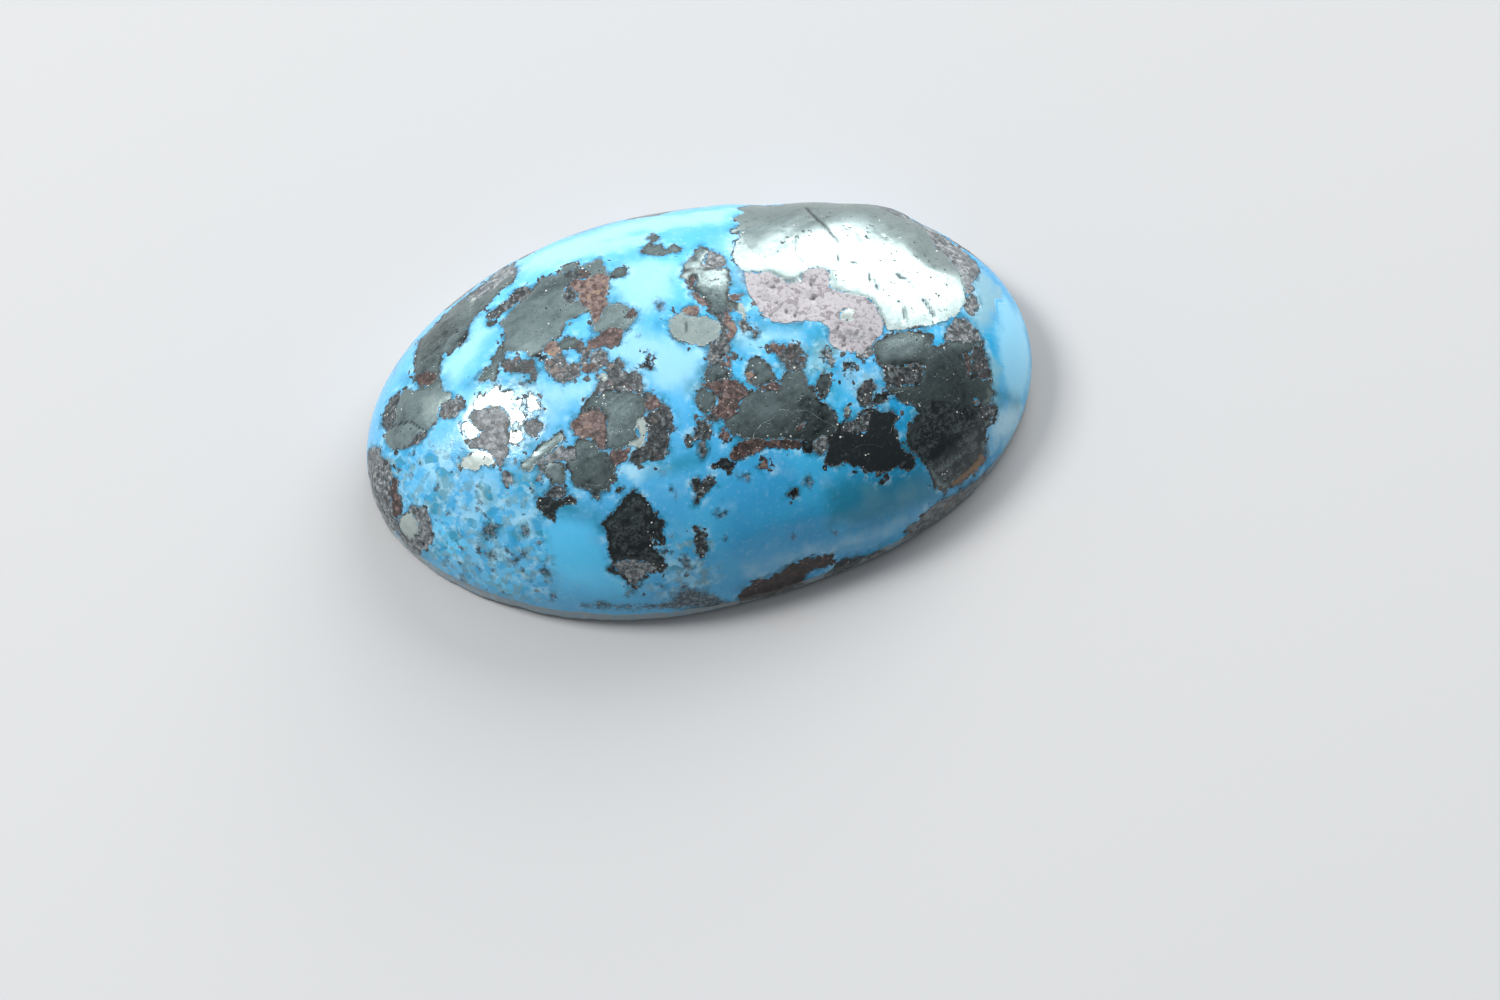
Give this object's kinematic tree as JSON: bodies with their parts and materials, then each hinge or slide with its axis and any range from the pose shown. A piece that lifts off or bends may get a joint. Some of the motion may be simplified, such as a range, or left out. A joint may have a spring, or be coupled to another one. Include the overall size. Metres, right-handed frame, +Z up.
{
  "type": "turquoise cabochon",
  "caption": "Polished oval turquoise cabochon with a high dome, a low ground rim and a flat back, veined with pyrite and iron-stained matrix.",
  "frame": {"origin": "middle of the flat base", "axes": "+X along the stone's length, +Y across it, +Z up through the dome"},
  "size_m": [0.036, 0.0228, 0.0092],
  "materials": {
    "turquoise": "polished sky-blue turquoise, mottled paler and greener, with dark grey-green metallic pyrite, red-brown and grey iron-stained matrix; matt ground rim and back"
  },
  "bodies": {
    "root": {"stone": "turquoise"}
  },
  "joints": []
}
